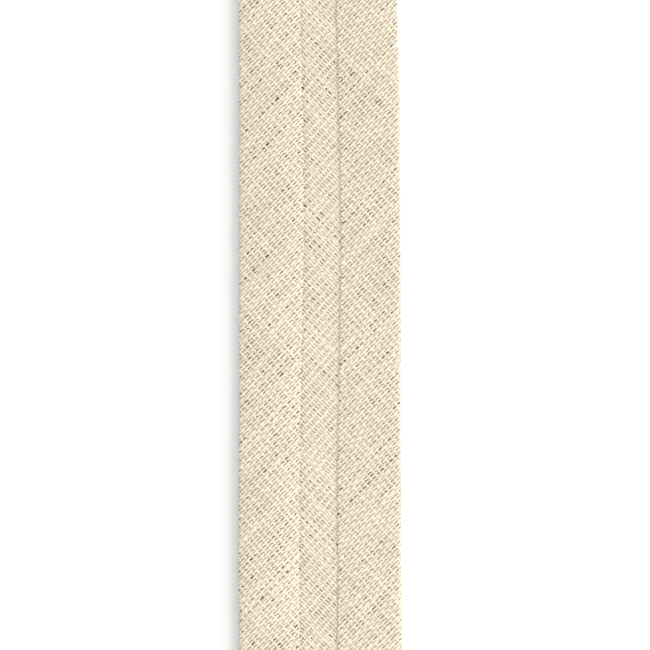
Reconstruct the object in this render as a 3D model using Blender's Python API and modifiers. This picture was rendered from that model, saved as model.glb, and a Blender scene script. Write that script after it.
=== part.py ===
"""A flat length of single-fold bias binding: a cotton strip cut on the bias, with both long edges turned in.

The strip lies along Y with its folded edges on top. The origin is on the surface it rests on, under its middle.
"""

import math

import bmesh
import bpy
import numpy as np

# Driving dimensions, in metres
STRIP_LENGTH = 0.130
CLOTH_THICKNESS = 0.0010
FOLD_GAP = 0.0005
RAW_EDGE_GAP = 0.0003

# How finely the folded section and the length are divided
FOLD_STEPS = 8
BASE_STEPS = 6
TURN_IN_STEPS = 4
SECTION_SPACING = 0.0050

# Finish
CREAM_COTTON = (0.783, 0.703, 0.558, 1.0)
COTTON_ROUGHNESS = 0.92

OBJECT_NAME = "bias_binding"
MILLIMETRE = 0.001

# Where the strip's two folds and two raw edges run, in millimetres from its centre line. Each row is one
# section, from the near end to the far end: along, left_fold, left_raw_edge, right_raw_edge, right_fold
COLUMNS = ("along", "left_fold", "left_raw_edge", "right_raw_edge", "right_fold")
EDGE_LINES = (
    (-65.0, -10.00, -2.40, 2.35, 10.00),
    (-48.0, -10.00, -2.50, 2.25, 10.10),
    (-39.0, -10.05, -2.55, 2.20, 10.15),
    (-30.0, -10.15, -2.55, 2.30, 10.10),
    (-21.0, -10.10, -2.55, 2.15, 10.05),
    (-12.0, -10.05, -2.45, 2.30, 10.05),
    (-3.0, -10.05, -2.30, 2.50, 10.05),
    (9.0, -10.05, -2.05, 2.65, 10.05),
    (20.0, -10.05, -2.05, 2.55, 9.95),
    (30.0, -10.05, -2.25, 2.30, 9.85),
    (39.0, -10.10, -2.45, 2.05, 9.65),
    (48.0, -10.10, -2.50, 2.10, 9.60),
    (65.0, -10.05, -2.50, 2.20, 9.80),
)


def clear_scene():
    for existing in list(bpy.data.objects):
        bpy.data.objects.remove(existing, do_unlink=True)


def smooth_value(knots, values, at):
    """A smooth curve through the values, read at one place between the first knot and the last."""
    last = len(knots) - 2
    i = int(np.clip(np.searchsorted(knots, at, side="right") - 1, 0, last))
    slopes = np.gradient(values, knots)
    span = knots[i + 1] - knots[i]
    t = (at - knots[i]) / span
    start = values[i] * (1 + 2 * t) * (1 - t) ** 2 + slopes[i] * span * t * (1 - t) ** 2
    end = values[i + 1] * t**2 * (3 - 2 * t) + slopes[i + 1] * span * t**2 * (t - 1)
    return start + end


def edge_places(along):
    """The places across the strip of its folds and raw edges, in metres, at one place along it."""
    table = np.array(EDGE_LINES) * MILLIMETRE
    return {
        name: smooth_value(table[:, 0], table[:, column], along)
        for column, name in enumerate(COLUMNS)
    }


def half_section(fold, raw_edge):
    """The cloth's middle line from a raw edge, out over the turned-in part and round its fold to the base.

    The points are (across, height), and the fold is at a negative place across the strip.
    """
    base_height = CLOTH_THICKNESS / 2
    fold_radius = (CLOTH_THICKNESS + FOLD_GAP) / 2
    fold_centre = fold + CLOTH_THICKNESS / 2 + fold_radius
    top_at_fold = base_height + 2 * fold_radius
    top_at_raw_edge = base_height + CLOTH_THICKNESS + RAW_EDGE_GAP

    points = []
    for step in range(TURN_IN_STEPS):
        t = step / TURN_IN_STEPS
        ease = (1 - t) ** 2
        across = raw_edge + (fold_centre - raw_edge) * t
        points.append((across, top_at_fold + (top_at_raw_edge - top_at_fold) * ease))
    for step in range(FOLD_STEPS + 1):
        angle = math.pi / 2 + math.pi * step / FOLD_STEPS
        across = fold_centre + fold_radius * math.cos(angle)
        points.append((across, base_height + fold_radius + fold_radius * math.sin(angle)))
    return points


def whole_section(along):
    """The cloth's middle line across the strip, from its left raw edge round both folds to its right one."""
    place = edge_places(along)
    left = half_section(place["left_fold"], place["left_raw_edge"])
    right = [
        (-across, height)
        for across, height in reversed(half_section(-place["right_fold"], -place["right_raw_edge"]))
    ]
    base_start, base_height = left[-1]
    base_end = right[0][0]
    base = [
        (base_start + (base_end - base_start) * step / BASE_STEPS, base_height)
        for step in range(1, BASE_STEPS)
    ]
    return left + base + right


def folded_surface():
    """The cloth's middle surface: its folded section, carried from one cut end of the strip to the other."""
    surface = bmesh.new()
    section_count = round(STRIP_LENGTH / SECTION_SPACING) + 1
    rows = []
    for along in np.linspace(-STRIP_LENGTH / 2, STRIP_LENGTH / 2, section_count):
        rows.append([surface.verts.new((across, along, height)) for across, height in whole_section(along)])
    for near, far in zip(rows, rows[1:]):
        for i in range(len(near) - 1):
            surface.faces.new((near[i], near[i + 1], far[i + 1], far[i]))
    surface.normal_update()
    mesh = bpy.data.meshes.new(OBJECT_NAME)
    surface.to_mesh(mesh)
    surface.free()
    return mesh


def cotton():
    material = bpy.data.materials.new("cream_cotton")
    material.use_nodes = True
    shader = material.node_tree.nodes["Principled BSDF"]
    shader.inputs["Base Color"].default_value = CREAM_COTTON
    shader.inputs["Roughness"].default_value = COTTON_ROUGHNESS
    shader.inputs["Metallic"].default_value = 0.0
    material.diffuse_color = CREAM_COTTON
    return material


def bias_binding(collection):
    """The strip itself: one piece of cloth, its middle surface thickened to the cloth on both sides."""
    mesh = folded_surface()
    mesh.materials.append(cotton())
    mesh.shade_smooth()
    strip = bpy.data.objects.new(OBJECT_NAME, mesh)
    collection.objects.link(strip)
    cloth = strip.modifiers.new("cloth", "SOLIDIFY")
    cloth.thickness = CLOTH_THICKNESS
    cloth.offset = 0.0
    cloth.use_even_offset = True
    cloth.use_rim = True
    return strip


def main():
    clear_scene()
    collection = bpy.data.collections.new(OBJECT_NAME)
    bpy.context.scene.collection.children.link(collection)
    bias_binding(collection)


main()
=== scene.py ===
"""The looks of a flat length of cream cotton bias binding, woven thread by thread, on a pale table in soft light.

The cloth is worked out flat first: across it (in mm from the strip's centre line) and along it. Its threads run
at about 45 degrees to its edges. It is then folded: both long edges turn up and over, and the threads go with it.
"""

import math

import bpy
import numpy as np
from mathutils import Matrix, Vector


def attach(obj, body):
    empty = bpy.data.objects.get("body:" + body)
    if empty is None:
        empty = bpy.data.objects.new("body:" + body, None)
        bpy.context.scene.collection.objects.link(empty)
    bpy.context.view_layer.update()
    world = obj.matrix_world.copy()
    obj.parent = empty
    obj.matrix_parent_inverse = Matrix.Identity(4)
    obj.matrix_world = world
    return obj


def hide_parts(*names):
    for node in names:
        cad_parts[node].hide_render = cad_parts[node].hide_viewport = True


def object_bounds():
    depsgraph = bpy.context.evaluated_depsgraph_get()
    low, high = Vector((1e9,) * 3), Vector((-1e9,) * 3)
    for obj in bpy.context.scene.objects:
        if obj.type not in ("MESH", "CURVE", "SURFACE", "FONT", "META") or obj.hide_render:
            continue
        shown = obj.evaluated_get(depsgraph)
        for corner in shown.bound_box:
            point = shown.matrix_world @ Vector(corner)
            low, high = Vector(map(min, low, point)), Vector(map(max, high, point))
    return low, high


MM = 0.001
SEED = 4

# The photograph: its size in pixels, the real width that it covers and the strip's centre line in it
PHOTO_PX = 650
MM_PER_PX = 0.125
STRIP_CENTRE_PX = 319.7
LENS_MM = 250.0
SENSOR_MM = 36.0

# The cloth's half thickness, over the tops of its threads, and the two sets of threads, in mm and degrees.
# Angles are those of the base, seen from above; over the folds they turn into their mirror image
HALF_CLOTH = 0.083
CLOSE_PITCH = 0.389
SPACED_PITCH = 0.775
CLOSE_ANGLE = -45.5
SPACED_ANGLE = 48.5

# Each set's half width, half height and crimp (how far it weaves up and down), all in mm, and how far its threads
# slant to and fro between crossings. Then its rings of points a crossing and its sides, and how uneven it is: its
# spacing, its wandering and over what length, in mm, and its width
CLOSE_THREAD = {
    "half_width": 0.173,
    "half_height": 0.055,
    "crimp": 0.042,
    "slant": 0.019,
    "rings": 3,
    "sides": 6,
    "spacing_jitter": 0.030,
    "wander": 0.026,
    "wander_length": 1.7,
    "width_jitter": 0.15,
}
SPACED_THREAD = {
    "half_width": 0.200,
    "half_height": 0.050,
    "crimp": 0.030,
    "slant": 0.0,
    "rings": 2,
    "sides": 6,
    "spacing_jitter": 0.060,
    "wander": 0.080,
    "wander_length": 0.9,
    "width_jitter": 0.15,
}

# How much of the crimp the base keeps, which is pressed flatter, and between which places across the cloth it ends
BASE_CRIMP = 0.45
BASE_ENDS = (8.5, 10.5)

# Where the weave is fuller or more open: the share of a thread's width, and the patches' size in close threads
# and in spaced threads
PATCH_TABLE = (
    (0.09, 1.3, 5.0),
    (0.05, 9.0, 1.3),
    (0.05, 8.0, 5.0),
)
PATCHES = 97

# The slow part of a set's uneven spacing: its share of the jitter, and how many threads it takes to change
DRIFT_SHARE = 0.6
DRIFT_THREADS = 5.0

# How unevenly thick threads are: from one to the next, over what length along each (mm), and at one slub on it,
# with the slub's share of the width, its place and its length (mm)
THREAD_VARIATION = 0.05
WIDTH_LENGTH = 0.9
SLUB_SHARE = 0.45
SLUB_PLACES = (0.0, 160.0)
SLUB_LENGTHS = (0.7, 1.8)

# How much fuller the threads are from place to place across the cloth: the place in mm and the share of their width
FULLNESS_TABLE = (
    (-10.5, 0.00),
    (-8.5, 0.05),
)

# Each half of the folded section from its raw edge, over the turned-in part and round the fold to the base:
# how far each point lies inside the fold's edge line (outside it where negative), and the height of the cloth's
# middle there, in mm
LEFT_SECTION = (
    (7.60, 0.48),
    (7.10, 0.63),
    (6.20, 0.82),
    (5.00, 0.96),
    (3.60, 1.01),
    (2.20, 0.97),
    (1.20, 0.90),
    (0.60, 0.84),
    (0.15, 0.74),
    (0.00, 0.61),
    (0.15, 0.48),
    (0.60, 0.42),
    (1.40, 0.34),
    (2.80, 0.21),
    (4.20, 0.13),
    (5.40, 0.10),
)
RIGHT_SECTION = (
    (7.60, 0.20),
    (7.30, 0.21),
    (6.20, 0.28),
    (5.00, 0.33),
    (3.60, 0.36),
    (2.20, 0.39),
    (1.20, 0.40),
    (0.60, 0.39),
    (0.14, 0.34),
    (-0.06, 0.25),
    (0.14, 0.16),
    (0.60, 0.11),
    (1.40, 0.10),
    (2.80, 0.10),
    (4.20, 0.10),
    (5.40, 0.10),
)
TURN_IN = LEFT_SECTION[0][0]
SECTION_STEPS = 12

# How much the turned-in parts rise and sink along the strip, as a share of their height, and over what length
PUFF = 0.07
PUFF_LENGTH = 11.0

# Where the folds and raw edges run along the strip, in mm from its centre line
EDGE_COLUMNS = ("along", "left_fold", "left_raw_edge", "right_raw_edge", "right_fold")
EDGE_LINES = (
    (-65.0, -10.00, -2.40, 2.35, 10.00),
    (-48.0, -10.00, -2.50, 2.25, 10.10),
    (-39.0, -10.05, -2.55, 2.20, 10.15),
    (-30.0, -10.15, -2.55, 2.30, 10.10),
    (-21.0, -10.10, -2.55, 2.15, 10.05),
    (-12.0, -10.05, -2.45, 2.30, 10.05),
    (-3.0, -10.05, -2.30, 2.50, 10.05),
    (9.0, -10.05, -2.05, 2.65, 10.05),
    (20.0, -10.05, -2.05, 2.55, 9.95),
    (30.0, -10.05, -2.25, 2.30, 9.85),
    (39.0, -10.10, -2.45, 2.05, 9.65),
    (48.0, -10.10, -2.50, 2.10, 9.60),
    (65.0, -10.05, -2.50, 2.20, 9.80),
)

# How finely the folded surface is tabulated, in mm, and how far across the flat cloth the table goes
TABLE_ALONG = 1.0
TABLE_ACROSS = 0.05
TABLE_REACH = 19.0
LOWEST = 0.01

# How far threads stick out of a cut edge, at least and at most, how far inside the edge a thread's last whole ring
# lies at least, in mm, how much of the step to that ring a cut can take off, and how slim a cut end is
CUT_TRIMS = (-0.02, 0.03)
LEAST_INSIDE = 0.03
MOST_CUT = 0.95
END_TAPER = 0.6

# The thin sheet inside the weave that closes its holes, dark as painted shade, in mm, and how many points it has
# each way
CORE_HALF = 0.008
CORE_MARGIN = 0.12
CORE_ACROSS = 110
CORE_ALONG = 66

# How far past the strip's ends the random curves go, in mm
NOISE_MARGIN = 25.0

# Each thread's strip of the bake map: the share of its row that it fills, where it starts and how long the
# longest is, and the size and distance of its two caps
BAKE_BAND = (0.08, 0.92)
BAKE_START = 0.01
BAKE_SPAN = 0.98
CAP_RADIUS = 0.003
CAP_OFFSET = 0.005

# Colours: the threads from the depth of the weave to its top, darker and browner low down as painted shade, and the
# dark painted shade of the weave's depth, from dark to light
THREAD_COLOURS_AND_DEPTH_SHADE = ((0.0, (0.778, 0.687, 0.530, 1)), (0.45, (0.844, 0.752, 0.606, 1)))
PAINTED_DEPTH_SHADE = ((0.36, (0.09, 0.063, 0.032, 1)), (0.55, (0.55, 0.455, 0.305, 1)))

# Fibres in a thread: their noise's steps round it, along it with the twist and along it alone, and how far apart
# two threads lie in it. Then brightness as (scale, offset) of the fibres, whose bright streaks are partly painted
# highlights, and of the blotches, and each thread's own
FIBRES_ROUND = 5.0
FIBRES_TWIST = 1.1
FIBRES_ALONG = 1.3
FIBRES_APART = 37.0
FIBRE_TONE_AND_HIGHLIGHT = (0.60, 0.70)
BLOTCH_BRIGHTNESS = (0.26, -0.13)
TONE_BRIGHTNESS = 0.03
THREAD_BLOTCHES = 2200.0
DEPTH_BLOTCHES = 1500.0
FIBRE_BUMP = 0.35
FIBRE_BUMP_HEIGHT = 0.00003

# How many pieces each set of threads is made in
CLOSE_PIECES = 4
SPACED_PIECES = 3

# The table top, from its middle to its edge in metres, the light of the room, and the one lamp beside the strip
TOP_REACH = 3.0
TOP_COLOUR = (0.97, 0.97, 0.97, 1)
ROOM_STRENGTH = 0.81
LAMP_PLACE = (0.84, -0.225, 0.38)
LAMP_SIZE = 0.58
LAMP_WATTS = 6.7

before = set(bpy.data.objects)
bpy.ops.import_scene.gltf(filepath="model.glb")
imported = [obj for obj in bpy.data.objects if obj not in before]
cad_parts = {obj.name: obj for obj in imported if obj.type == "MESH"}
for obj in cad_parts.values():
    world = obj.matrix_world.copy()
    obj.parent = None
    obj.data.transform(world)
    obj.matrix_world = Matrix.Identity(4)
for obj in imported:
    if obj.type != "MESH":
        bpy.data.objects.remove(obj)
CAD_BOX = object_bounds()
HALF_LENGTH = CAD_BOX[1][1] / MM
NOISE_REACH = HALF_LENGTH + NOISE_MARGIN


def smooth_noise(rng, places, wavelength):
    """Smooth random values between about -1 and 1 at the places, in mm along the strip or along a thread."""
    knots = np.arange(-NOISE_REACH, NOISE_REACH + 2 * wavelength, wavelength)
    values = rng.uniform(-1.0, 1.0, len(knots))
    position = (np.asarray(places) + NOISE_REACH) / wavelength
    low = np.clip(np.floor(position).astype(int), 0, len(knots) - 2)
    t = np.clip(position - low, 0.0, 1.0)
    t = t * t * (3 - 2 * t)
    return values[low] * (1 - t) + values[low + 1] * t


def curve_through(points, steps):
    """A smooth curve (Catmull-Rom) through the points, with this many steps between each two."""
    points = np.asarray(points, float)
    ends = np.vstack([2 * points[0] - points[1], points, 2 * points[-1] - points[-2]])
    t = (np.arange(steps) / steps)[:, None]
    spans = []
    for before, start, end, after in zip(ends, ends[1:], ends[2:], ends[3:]):
        bend = (2 * before - 5 * start + 4 * end - after) * t**2 + (3 * start - before - 3 * end + after) * t**3
        spans.append(0.5 * (2 * start + (end - before) * t + bend))
    return np.vstack(spans + [points[-1:]])


def half_section(points, fold, raw_edge, puff):
    """The middle line of one half of the section, as (across, height) from its raw edge to the centre line."""
    inward, height = np.array(points).T
    on_top = np.arange(len(inward)) <= np.argmin(inward)
    stretch = np.where(on_top, (raw_edge - fold) / TURN_IN, 1.0)
    lift = np.where(on_top, height * (1 + puff * np.sin(np.pi * inward / TURN_IN)), height)
    bend = curve_through(np.column_stack([fold + inward * stretch, lift]), SECTION_STEPS)
    return np.vstack([bend, [[0.0, height[-1]]]])


def folded_table():
    """The folded surface as a table: its places and outward directions for even steps along and across the cloth.

    Also the places of both raw edges, as distances across the flat cloth, for each step along it.
    """
    rng = np.random.RandomState(SEED)
    alongs = np.arange(-HALF_LENGTH - 2 * TABLE_ALONG, HALF_LENGTH + 2.5 * TABLE_ALONG, TABLE_ALONG)
    edges = np.array(EDGE_LINES)
    left_fold, left_raw, right_raw, right_fold = (
        np.interp(alongs, edges[:, 0], edges[:, i]) for i in range(1, len(EDGE_COLUMNS))
    )
    puffs = [PUFF * smooth_noise(rng, alongs, PUFF_LENGTH) for _ in range(2)]
    across = np.arange(-TABLE_REACH, TABLE_REACH + TABLE_ACROSS / 2, TABLE_ACROSS)
    table = {name: np.zeros((len(alongs), len(across))) for name in ("x", "z", "out_x", "out_z")}
    raw_edges = np.zeros((len(alongs), 2))
    for row in range(len(alongs)):
        left = half_section(LEFT_SECTION, left_fold[row], left_raw[row], puffs[0][row])
        right = half_section(RIGHT_SECTION, -right_fold[row], -right_raw[row], puffs[1][row])
        right = right[::-1] * (-1, 1)
        line = np.vstack([left, right[1:]])
        lengths = np.concatenate([[0.0], np.cumsum(np.linalg.norm(np.diff(line, axis=0), axis=1))])
        lengths -= lengths[len(left) - 1]
        raw_edges[row] = lengths[0], lengths[-1]
        x = np.interp(across, lengths, line[:, 0])
        z = np.interp(across, lengths, line[:, 1])
        # Past a raw edge the table goes on level, over the base, so that thread ends can stick out
        x = x + np.maximum(lengths[0] - across, 0) - np.maximum(across - lengths[-1], 0)
        slope_x, slope_z = np.gradient(x, TABLE_ACROSS), np.gradient(z, TABLE_ACROSS)
        size = np.hypot(slope_x, slope_z)
        table["x"][row], table["z"][row] = x, z
        table["out_x"][row], table["out_z"][row] = slope_z / size, -slope_x / size
    return alongs, across, table, raw_edges


ALONGS, ACROSS, TABLE, RAW_EDGES = folded_table()


def lay(u, v, proud):
    """Places in metres for points of the flat cloth: u across it, v along it and proud of its middle, in mm."""
    row = np.clip((v - ALONGS[0]) / TABLE_ALONG, 0, len(ALONGS) - 1.001)
    column = np.clip((u - ACROSS[0]) / TABLE_ACROSS, 0, len(ACROSS) - 1.001)
    i, j = row.astype(int), column.astype(int)
    s, t = row - i, column - j
    read = {
        name: (grid[i, j] * (1 - t) + grid[i, j + 1] * t) * (1 - s)
        + (grid[i + 1, j] * (1 - t) + grid[i + 1, j + 1] * t) * s
        for name, grid in TABLE.items()
    }
    x = read["x"] + proud * read["out_x"]
    z = np.maximum(read["z"] + proud * read["out_z"], LOWEST)
    return np.stack([x, v, z], axis=-1) * MM


def inside(u, v):
    """How far inside the strip's raw edges and cut ends a point of the flat cloth lies, in mm."""
    left = np.interp(v, ALONGS, RAW_EDGES[:, 0])
    right = np.interp(v, ALONGS, RAW_EDGES[:, 1])
    return np.minimum(np.minimum(u - left, right - u), HALF_LENGTH - np.abs(v))


# The directions in which each set of threads runs, and the number of threads of each set that the strip can need
CLOSE_RUN = np.array([math.cos(math.radians(CLOSE_ANGLE)), math.sin(math.radians(CLOSE_ANGLE))])
SPACED_RUN = np.array([math.cos(math.radians(SPACED_ANGLE)), math.sin(math.radians(SPACED_ANGLE))])
SKEW = abs(CLOSE_RUN[0] * SPACED_RUN[1] - CLOSE_RUN[1] * SPACED_RUN[0])
FARTHEST = HALF_LENGTH * CLOSE_RUN[0] + TABLE_REACH * SPACED_RUN[1]
MOST_CLOSE = math.ceil(FARTHEST / CLOSE_PITCH)
MOST_SPACED = math.ceil(FARTHEST / SPACED_PITCH)


def spacing_shifts(seed, jitter):
    """How far each thread of a set is out of its even place, in mm."""
    rng = np.random.RandomState(seed)
    numbers = np.arange(-MOST_CLOSE, MOST_CLOSE + 1)
    each = rng.normal(0, 1, len(numbers))
    return numbers, jitter * (each + DRIFT_SHARE * smooth_noise(rng, numbers / DRIFT_THREADS, 1.0))


CLOSE_SHIFTS = spacing_shifts(SEED + 1, CLOSE_THREAD["spacing_jitter"])
SPACED_SHIFTS = spacing_shifts(SEED + 2, SPACED_THREAD["spacing_jitter"])


def weave_place(a, b):
    """The flat cloth's point where close thread number a meets spaced thread number b, for any a and b."""
    across_close = a * CLOSE_PITCH + np.interp(a, *CLOSE_SHIFTS)
    across_spaced = b * SPACED_PITCH + np.interp(b, *SPACED_SHIFTS)
    u = (SPACED_RUN[0] * across_close + CLOSE_RUN[0] * across_spaced) / SKEW
    v = (SPACED_RUN[1] * across_close + CLOSE_RUN[1] * across_spaced) / SKEW
    return u, v


def patch_field(seed, close_threads, spaced_threads):
    """A smooth random field over the weave, by thread numbers. Its patches are that many threads wide."""
    rng = np.random.RandomState(seed)
    values = rng.uniform(-1.0, 1.0, (PATCHES, PATCHES))

    def read(a, b):
        p, q = a / close_threads + PATCHES / 2, b / spaced_threads + PATCHES / 2
        i, j = np.floor(p).astype(int) % (PATCHES - 1), np.floor(q).astype(int) % (PATCHES - 1)
        s, t = p - np.floor(p), q - np.floor(q)
        s, t = s * s * (3 - 2 * s), t * t * (3 - 2 * t)
        near = values[i, j] * (1 - t) + values[i, j + 1] * t
        far = values[i + 1, j] * (1 - t) + values[i + 1, j + 1] * t
        return near * (1 - s) + far * s

    return read


PATCH_FIELDS = [
    (share, patch_field(SEED + 10 + row, close_threads, spaced_threads))
    for row, (share, close_threads, spaced_threads) in enumerate(PATCH_TABLE)
]


def thread_line(number, others, close):
    """The thread numbers (close, spaced) along one thread, given the places on the other set that it crosses."""
    own = np.full_like(others, number)
    return (own, others) if close else (others, own)


def cut_place(number, outer, inner, close, trim):
    """The place between two of a thread's rings at which it is cut off, a trim outside the cloth's edge."""
    pair = np.array([outer, inner])
    outside, within = inside(*weave_place(*thread_line(number, pair, close))) + trim
    share = np.clip(-outside / max(within - outside, 1e-6), 0.0, MOST_CUT)
    return outer + (inner - outer) * share


def one_thread(number, kind, rng):
    """One thread's rings of points, how proud each lies and how far along each ring is, or None off the strip."""
    close = kind is CLOSE_THREAD
    most = MOST_SPACED if close else MOST_CLOSE
    step = 1.0 / kind["rings"]
    others = np.arange(-most, most + step / 2, step)
    within = np.flatnonzero(inside(*weave_place(*thread_line(number, others, close))) > LEAST_INSIDE)
    if len(within) < 2:
        return None
    others = others[within[0] : within[-1] + 1]
    trims = rng.uniform(*CUT_TRIMS, 2)
    first = cut_place(number, others[0] - step, others[0], close, trims[0])
    last = cut_place(number, others[-1] + step, others[-1], close, trims[1])
    others = np.concatenate([[first], others, [last]])
    a, b = thread_line(number, others, close)
    u, v = weave_place(a, b)
    over = 1.0 if (number % 2 == 0) == close else -1.0
    wave = over * np.cos(np.pi * others)

    run = np.gradient(np.column_stack([u, v]), axis=0)
    run /= np.linalg.norm(run, axis=1)[:, None]
    length = np.concatenate([[0.0], np.cumsum(np.hypot(np.diff(u), np.diff(v)))])
    thick = 1.0 + THREAD_VARIATION * rng.normal()
    thick = thick + kind["width_jitter"] * smooth_noise(rng, length, WIDTH_LENGTH)
    thick = thick + sum(share * field(a, b) for share, field in PATCH_FIELDS)
    thick = thick + np.interp(u, *np.array(FULLNESS_TABLE).T)
    slub_place, slub_length = rng.uniform(*SLUB_PLACES), rng.uniform(*SLUB_LENGTHS)
    thick = thick + SLUB_SHARE * np.exp(-(((length - slub_place) / slub_length) ** 2))
    taper = np.ones_like(thick)
    taper[[0, -1]] = END_TAPER
    width = kind["half_width"] * thick * taper
    height = kind["half_height"] * np.sqrt(thick) * taper
    wander = kind["wander"] * smooth_noise(rng, length, kind["wander_length"])
    wander = wander - kind["slant"] * np.sin(2 * np.pi * others)

    turn = 2 * np.pi * (np.arange(kind["sides"]) + 0.5) / kind["sides"]
    sideways = width[:, None] * np.cos(turn)[None, :] + wander[:, None]
    crimp = kind["crimp"] * np.interp(np.abs(u), BASE_ENDS, (BASE_CRIMP, 1.0))
    proud = (crimp * wave)[:, None] + height[:, None] * np.sin(turn)[None, :]
    proud = np.clip(proud, -HALF_CLOTH, HALF_CLOTH)
    ring_u = u[:, None] - run[:, 1, None] * sideways
    ring_v = v[:, None] + run[:, 0, None] * sideways
    return lay(ring_u, ring_v, proud), np.abs(proud) / HALF_CLOTH, length


def add_floats(mesh, name, values):
    layer = mesh.attributes.new(name, "FLOAT", "POINT")
    layer.data.foreach_set("value", np.asarray(values, np.float32))


def bake_places(lengths, sides):
    """Each thread's own strip of the bake map, as places for the corners of its quads and then of its two caps."""
    longest = max(length[-1] for length in lengths)
    quads, caps = [], []
    for row, length in enumerate(lengths):
        low, high = ((row + share) / len(lengths) for share in BAKE_BAND)
        along = BAKE_START + BAKE_SPAN * length / longest
        up = low + (high - low) * np.arange(sides + 1) / sides
        near, far = np.repeat(along[:-1], sides), np.repeat(along[1:], sides)
        here, there = np.tile(up[:-1], len(length) - 1), np.tile(up[1:], len(length) - 1)
        corners = [np.column_stack(pair) for pair in ((near, here), (near, there), (far, there), (far, here))]
        quads.append(np.stack(corners, axis=1).reshape(-1, 2))
        angle = 2 * np.pi * np.arange(sides) / sides
        ring = CAP_RADIUS * np.column_stack([np.cos(angle), np.sin(angle)])
        caps.append(ring + (along[0] - CAP_OFFSET, (low + high) / 2))
        caps.append(ring + (along[-1] + CAP_OFFSET, (low + high) / 2))
    return np.vstack(quads + caps)


def threads_object(name, kind, numbers, material, rng):
    """A run of threads of one set, each a closed tube, as one object."""
    sides = kind["sides"]
    points, quads, caps, lengths = [], [], [], []
    proud_values, tones, alongs, rounds = [], [], [], []
    start = 0
    for number in numbers:
        thread = one_thread(number, kind, rng)
        if thread is None:
            continue
        rings, proud, length = thread
        count = len(rings)
        ring_starts = start + sides * np.arange(count - 1)[:, None]
        here = np.arange(sides)[None, :]
        there = (here + 1) % sides
        corners = [ring_starts + here, ring_starts + there, ring_starts + sides + there, ring_starts + sides + here]
        quads.append(np.stack(corners, axis=-1).reshape(-1, 4))
        caps.append(start + np.arange(sides)[::-1])
        caps.append(start + sides * (count - 1) + np.arange(sides))
        points.append(rings.reshape(-1, 3))
        lengths.append(length)
        proud_values.append(proud.ravel())
        tones.append(np.full(count * sides, rng.normal()))
        alongs.append(np.repeat(length, sides))
        rounds.append(np.tile(np.arange(sides) / sides, count))
        start += count * sides
    faces = np.vstack(quads).tolist() + [cap.tolist() for cap in caps]
    mesh = bpy.data.meshes.new(name)
    mesh.from_pydata(np.vstack(points).tolist(), [], faces)
    # How proud each point lies, which the thread material turns into painted shade low in the weave
    add_floats(mesh, "proud", np.concatenate(proud_values))
    add_floats(mesh, "tone", np.concatenate(tones))
    add_floats(mesh, "along", np.concatenate(alongs))
    add_floats(mesh, "round", np.concatenate(rounds))
    bake_map = mesh.uv_layers.new(name="OFBake")
    bake_map.data.foreach_set("uv", bake_places(lengths, sides).astype(np.float32).ravel())
    mesh.materials.append(material)
    mesh.shade_smooth()
    run = bpy.data.objects.new(name, mesh)
    bpy.context.scene.collection.objects.link(run)
    return run


def core_object(name, material):
    """The thin sheet at the cloth's middle, which closes the weave's small holes, coloured dark as painted shade.
    """
    alongs = np.linspace(-HALF_LENGTH + CORE_MARGIN, HALF_LENGTH - CORE_MARGIN, CORE_ALONG)
    left = np.interp(alongs, ALONGS, RAW_EDGES[:, 0]) + CORE_MARGIN
    right = np.interp(alongs, ALONGS, RAW_EDGES[:, 1]) - CORE_MARGIN
    share = np.linspace(0, 1, CORE_ACROSS)
    u = left[:, None] + (right - left)[:, None] * share[None, :]
    v = np.repeat(alongs[:, None], CORE_ACROSS, axis=1)
    outer = lay(u, v, np.full_like(u, CORE_HALF))
    inner = lay(u, v, np.full_like(u, -CORE_HALF))
    high = np.arange(u.size).reshape(u.shape)
    low = high + u.size
    faces = []

    def quads(p, q, r, s):
        faces.extend(zip(p.ravel().tolist(), q.ravel().tolist(), r.ravel().tolist(), s.ravel().tolist()))

    quads(high[:-1, :-1], high[1:, :-1], high[1:, 1:], high[:-1, 1:])
    quads(low[:-1, :-1], low[:-1, 1:], low[1:, 1:], low[1:, :-1])
    quads(high[0, :-1], high[0, 1:], low[0, 1:], low[0, :-1])
    quads(high[-1, 1:], high[-1, :-1], low[-1, :-1], low[-1, 1:])
    quads(high[1:, 0], high[:-1, 0], low[:-1, 0], low[1:, 0])
    quads(high[:-1, -1], high[1:, -1], low[1:, -1], low[:-1, -1])
    mesh = bpy.data.meshes.new(name)
    mesh.from_pydata(np.vstack([outer.reshape(-1, 3), inner.reshape(-1, 3)]).tolist(), [], faces)
    mesh.materials.append(material)
    mesh.shade_smooth()
    core = bpy.data.objects.new(name, mesh)
    bpy.context.scene.collection.objects.link(core)
    return core


def new_material(name):
    material = bpy.data.materials.new(name)
    material.use_nodes = True
    nodes = material.node_tree.nodes
    return material, nodes, material.node_tree.links, nodes["Principled BSDF"]


def ramp(nodes, stops):
    """A colour ramp between two stops, each a place and a colour."""
    node = nodes.new("ShaderNodeValToRGB")
    elements = node.color_ramp.elements
    for element, (place, colour) in zip(elements, stops):
        element.position, element.color = place, colour
    return node


def scaled(nodes, links, source, scale, offset=0.0):
    """The source value times scale plus offset."""
    node = nodes.new("ShaderNodeMath")
    node.operation = "MULTIPLY_ADD"
    links.new(source, node.inputs[0])
    node.inputs[1].default_value = scale
    node.inputs[2].default_value = offset
    return node.outputs[0]


def added(nodes, links, first, second):
    node = nodes.new("ShaderNodeMath")
    node.operation = "ADD"
    links.new(first, node.inputs[0])
    links.new(second, node.inputs[1])
    return node.outputs[0]


def attribute(nodes, name):
    node = nodes.new("ShaderNodeAttribute")
    node.attribute_name = name
    return node.outputs["Fac"]


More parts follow.
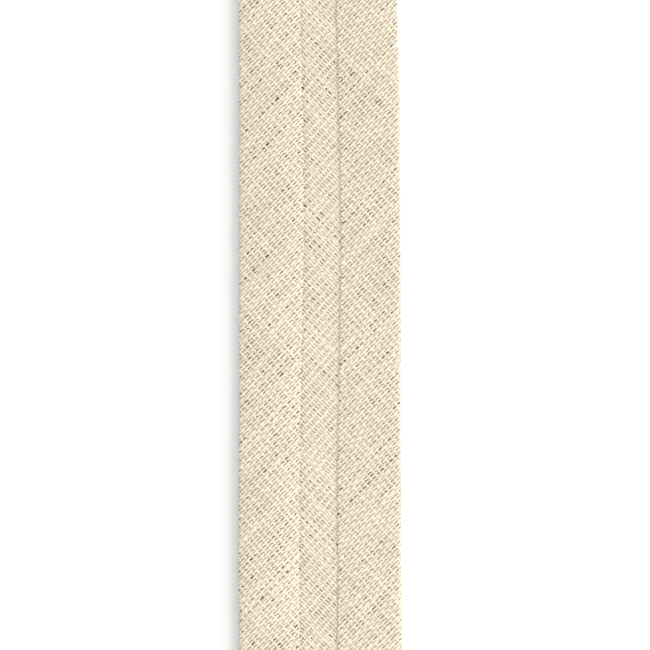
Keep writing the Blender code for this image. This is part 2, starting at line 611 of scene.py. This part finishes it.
def thread_material():
    """Cream cotton thread: fibre streaks, partly painted highlights; uneven tone; painted shade, browner down
    between its floats.
    """
    material, nodes, links, shader = new_material("cotton_thread")
    # Painted shade: the lower a point lies in the weave, the darker and browner its colour
    depth = ramp(nodes, THREAD_COLOURS_AND_DEPTH_SHADE)
    links.new(attribute(nodes, "proud"), depth.inputs["Fac"])

    # Fibres twist round the thread: a noise drawn out along it, each thread in a part of its own
    along, around, tone = (attribute(nodes, name) for name in ("along", "round", "tone"))
    turns, advance = scaled(nodes, links, around, FIBRES_ROUND), scaled(nodes, links, along, FIBRES_TWIST)
    twist = added(nodes, links, turns, advance)
    fibre_place = nodes.new("ShaderNodeCombineXYZ")
    links.new(scaled(nodes, links, along, FIBRES_ALONG), fibre_place.inputs["X"])
    links.new(twist, fibre_place.inputs["Y"])
    links.new(scaled(nodes, links, tone, FIBRES_APART), fibre_place.inputs["Z"])
    fibres = nodes.new("ShaderNodeTexNoise")
    fibres.inputs["Scale"].default_value = 1.0
    fibres.inputs["Detail"].default_value = 2.0
    links.new(fibre_place.outputs[0], fibres.inputs["Vector"])

    place = nodes.new("ShaderNodeTexCoord")
    blotch = nodes.new("ShaderNodeTexNoise")
    blotch.inputs["Scale"].default_value = THREAD_BLOTCHES
    blotch.inputs["Detail"].default_value = 3.0
    links.new(place.outputs["Object"], blotch.inputs["Vector"])

    # Fibre streaks: random tone along the fibres, their brightest parts partly painted highlights
    streaks = scaled(nodes, links, fibres.outputs["Fac"], *FIBRE_TONE_AND_HIGHLIGHT)
    patches = scaled(nodes, links, blotch.outputs["Fac"], *BLOTCH_BRIGHTNESS)
    tones = scaled(nodes, links, tone, TONE_BRIGHTNESS)
    total = added(nodes, links, added(nodes, links, streaks, patches), tones)
    shade = nodes.new("ShaderNodeVectorMath")
    shade.operation = "SCALE"
    links.new(depth.outputs["Color"], shade.inputs[0])
    links.new(total, shade.inputs["Scale"])
    links.new(shade.outputs[0], shader.inputs["Base Color"])

    bump = nodes.new("ShaderNodeBump")
    bump.inputs["Strength"].default_value = FIBRE_BUMP
    bump.inputs["Distance"].default_value = FIBRE_BUMP_HEIGHT
    links.new(fibres.outputs["Fac"], bump.inputs["Height"])
    links.new(bump.outputs["Normal"], shader.inputs["Normal"])
    shader.inputs["Roughness"].default_value = 0.88
    shader.inputs["Sheen Weight"].default_value = 0.15
    shader.inputs["Sheen Roughness"].default_value = 0.5
    shader.inputs["Specular IOR Level"].default_value = 0.25
    return material


def core_material():
    """Painted shade: the shaded depth of the weave, seen between its threads, blotched at random."""
    material, nodes, links, shader = new_material("cotton_painted_shade")
    place = nodes.new("ShaderNodeTexCoord")
    blotch = nodes.new("ShaderNodeTexNoise")
    blotch.inputs["Scale"].default_value = DEPTH_BLOTCHES
    links.new(place.outputs["Object"], blotch.inputs["Vector"])
    # Painted shade, from dark to lighter brown, in random blotches
    tint = ramp(nodes, PAINTED_DEPTH_SHADE)
    links.new(blotch.outputs["Fac"], tint.inputs["Fac"])
    links.new(tint.outputs["Color"], shader.inputs["Base Color"])
    shader.inputs["Roughness"].default_value = 0.95
    shader.inputs["Specular IOR Level"].default_value = 0.1
    return material


def camera():
    data = bpy.data.cameras.new("camera")
    data.type = "PERSP"
    data.lens = LENS_MM
    data.sensor_width = SENSOR_MM
    seen_mm = PHOTO_PX * MM_PER_PX
    distance = LENS_MM * seen_mm / SENSOR_MM
    view = bpy.data.objects.new("camera", data)
    view.location = ((PHOTO_PX / 2 - STRIP_CENTRE_PX) * MM_PER_PX * MM, 0.0, distance * MM)
    bpy.context.scene.collection.objects.link(view)
    bpy.context.scene.camera = view


def table_top():
    mesh = bpy.data.meshes.new("table_top")
    signs = [(-1, -1), (1, -1), (1, 1), (-1, 1)]
    mesh.from_pydata([(TOP_REACH * x, TOP_REACH * y, 0) for x, y in signs], [], [(0, 1, 2, 3)])
    material, _, _, shader = new_material("pale_table")
    shader.inputs["Base Color"].default_value = TOP_COLOUR
    shader.inputs["Roughness"].default_value = 0.9
    mesh.materials.append(material)
    table = bpy.data.objects.new("table_top", mesh)
    bpy.context.scene.collection.objects.link(table)


def area_light(name, place, size, power):
    data = bpy.data.lights.new(name, "AREA")
    data.size = size
    data.energy = power
    light = bpy.data.objects.new(name, data)
    light.location = place
    light.rotation_euler = (-light.location).to_track_quat("-Z", "Y").to_euler()
    bpy.context.scene.collection.objects.link(light)


def lights():
    world = bpy.data.worlds.new("soft_room")
    bpy.context.scene.world = world
    world.use_nodes = True
    background = world.node_tree.nodes["Background"]
    background.inputs["Color"].default_value = (1.0, 1.0, 1.0, 1)
    background.inputs["Strength"].default_value = ROOM_STRENGTH
    area_light("key_light", LAMP_PLACE, LAMP_SIZE, LAMP_WATTS)
    bpy.context.scene.view_settings.view_transform = "Standard"
    bpy.context.scene.view_settings.look = "None"


def threads(material):
    """All the threads, in runs that each stay a moderate mesh."""
    runs = []
    rng = np.random.RandomState(SEED + 3)
    for label, kind, most, pieces in (
        ("close_threads", CLOSE_THREAD, MOST_CLOSE, CLOSE_PIECES),
        ("spaced_threads", SPACED_THREAD, MOST_SPACED, SPACED_PIECES),
    ):
        starts = np.linspace(-most, most + 1, pieces + 1).astype(int)
        for run in range(pieces):
            numbers = np.arange(starts[run], starts[run + 1])
            runs.append(threads_object(f"{label}_{run + 1}", kind, numbers, material, rng))
    return runs


def binding():
    # The core sheet is coloured as painted shade between the threads
    core = core_object("binding_cloth", core_material())
    woven = threads(thread_material())
    for piece in [core] + woven:
        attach(piece, "root")
    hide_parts("bias_binding")


camera()
table_top()
lights()
binding()
